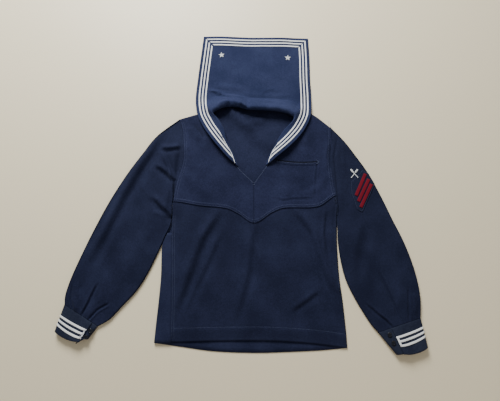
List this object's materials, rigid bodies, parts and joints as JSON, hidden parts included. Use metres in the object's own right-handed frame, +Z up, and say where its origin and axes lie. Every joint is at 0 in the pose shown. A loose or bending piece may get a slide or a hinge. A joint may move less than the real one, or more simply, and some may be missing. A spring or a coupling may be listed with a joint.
{
  "type": "naval dress jumper, wool pullover with a square sailor collar",
  "caption": "Navy wool sailor's jumper laid flat, with a square taped collar turned up, a V neck, a lapped yoke, pleated sleeves and taped cuffs.",
  "frame": {"origin": "on the floor, under the middle of the garment's bounding box", "axes": "+X towards the wearer's left along the sleeves' spread, +Y from the hem towards the collar, +Z up off the floor through the thickness of the laid cloth"},
  "size_m": [0.937, 0.8908, 0.028],
  "materials": {
    "wool": "navy wool melton, brushed, matt",
    "collar_wool": "navy wool flannel, matt, lighter where it faces the light",
    "white_tape": "woven cotton tape, matt",
    "red_braid": "felt and thread, matt",
    "white_thread": "silk embroidery, slight sheen",
    "button": "polished dark plastic"
  },
  "bodies": {
    "root": {"back_panel": "wool", "front_panel": "wool", "front_yoke_right": "wool", "front_yoke_left": "wool", "pocket_welt": "wool", "sleeve_right": "wool", "cuff_right": "wool", "cuff_right_tape_1": "white_tape", "cuff_right_tape_2": "white_tape", "cuff_right_tape_3": "white_tape", "cuff_right_tape_end": "white_tape", "button_right_1": "button", "button_right_2": "button", "sleeve_left": "wool", "cuff_left": "wool", "cuff_left_tape_1": "white_tape", "cuff_left_tape_2": "white_tape", "cuff_left_tape_3": "white_tape", "cuff_left_tape_end": "white_tape", "button_left_1": "button", "button_left_2": "button", "badge_backing": "wool", "badge_bar_1": "red_braid", "badge_bar_2": "red_braid", "badge_bar_3": "red_braid", "badge_oars": "white_thread", "collar": "collar_wool", "collar_tape_1": "white_tape", "collar_tape_2": "white_tape", "collar_tape_3": "white_tape", "star_right": "white_thread", "star_left": "white_thread"}
  },
  "joints": []
}
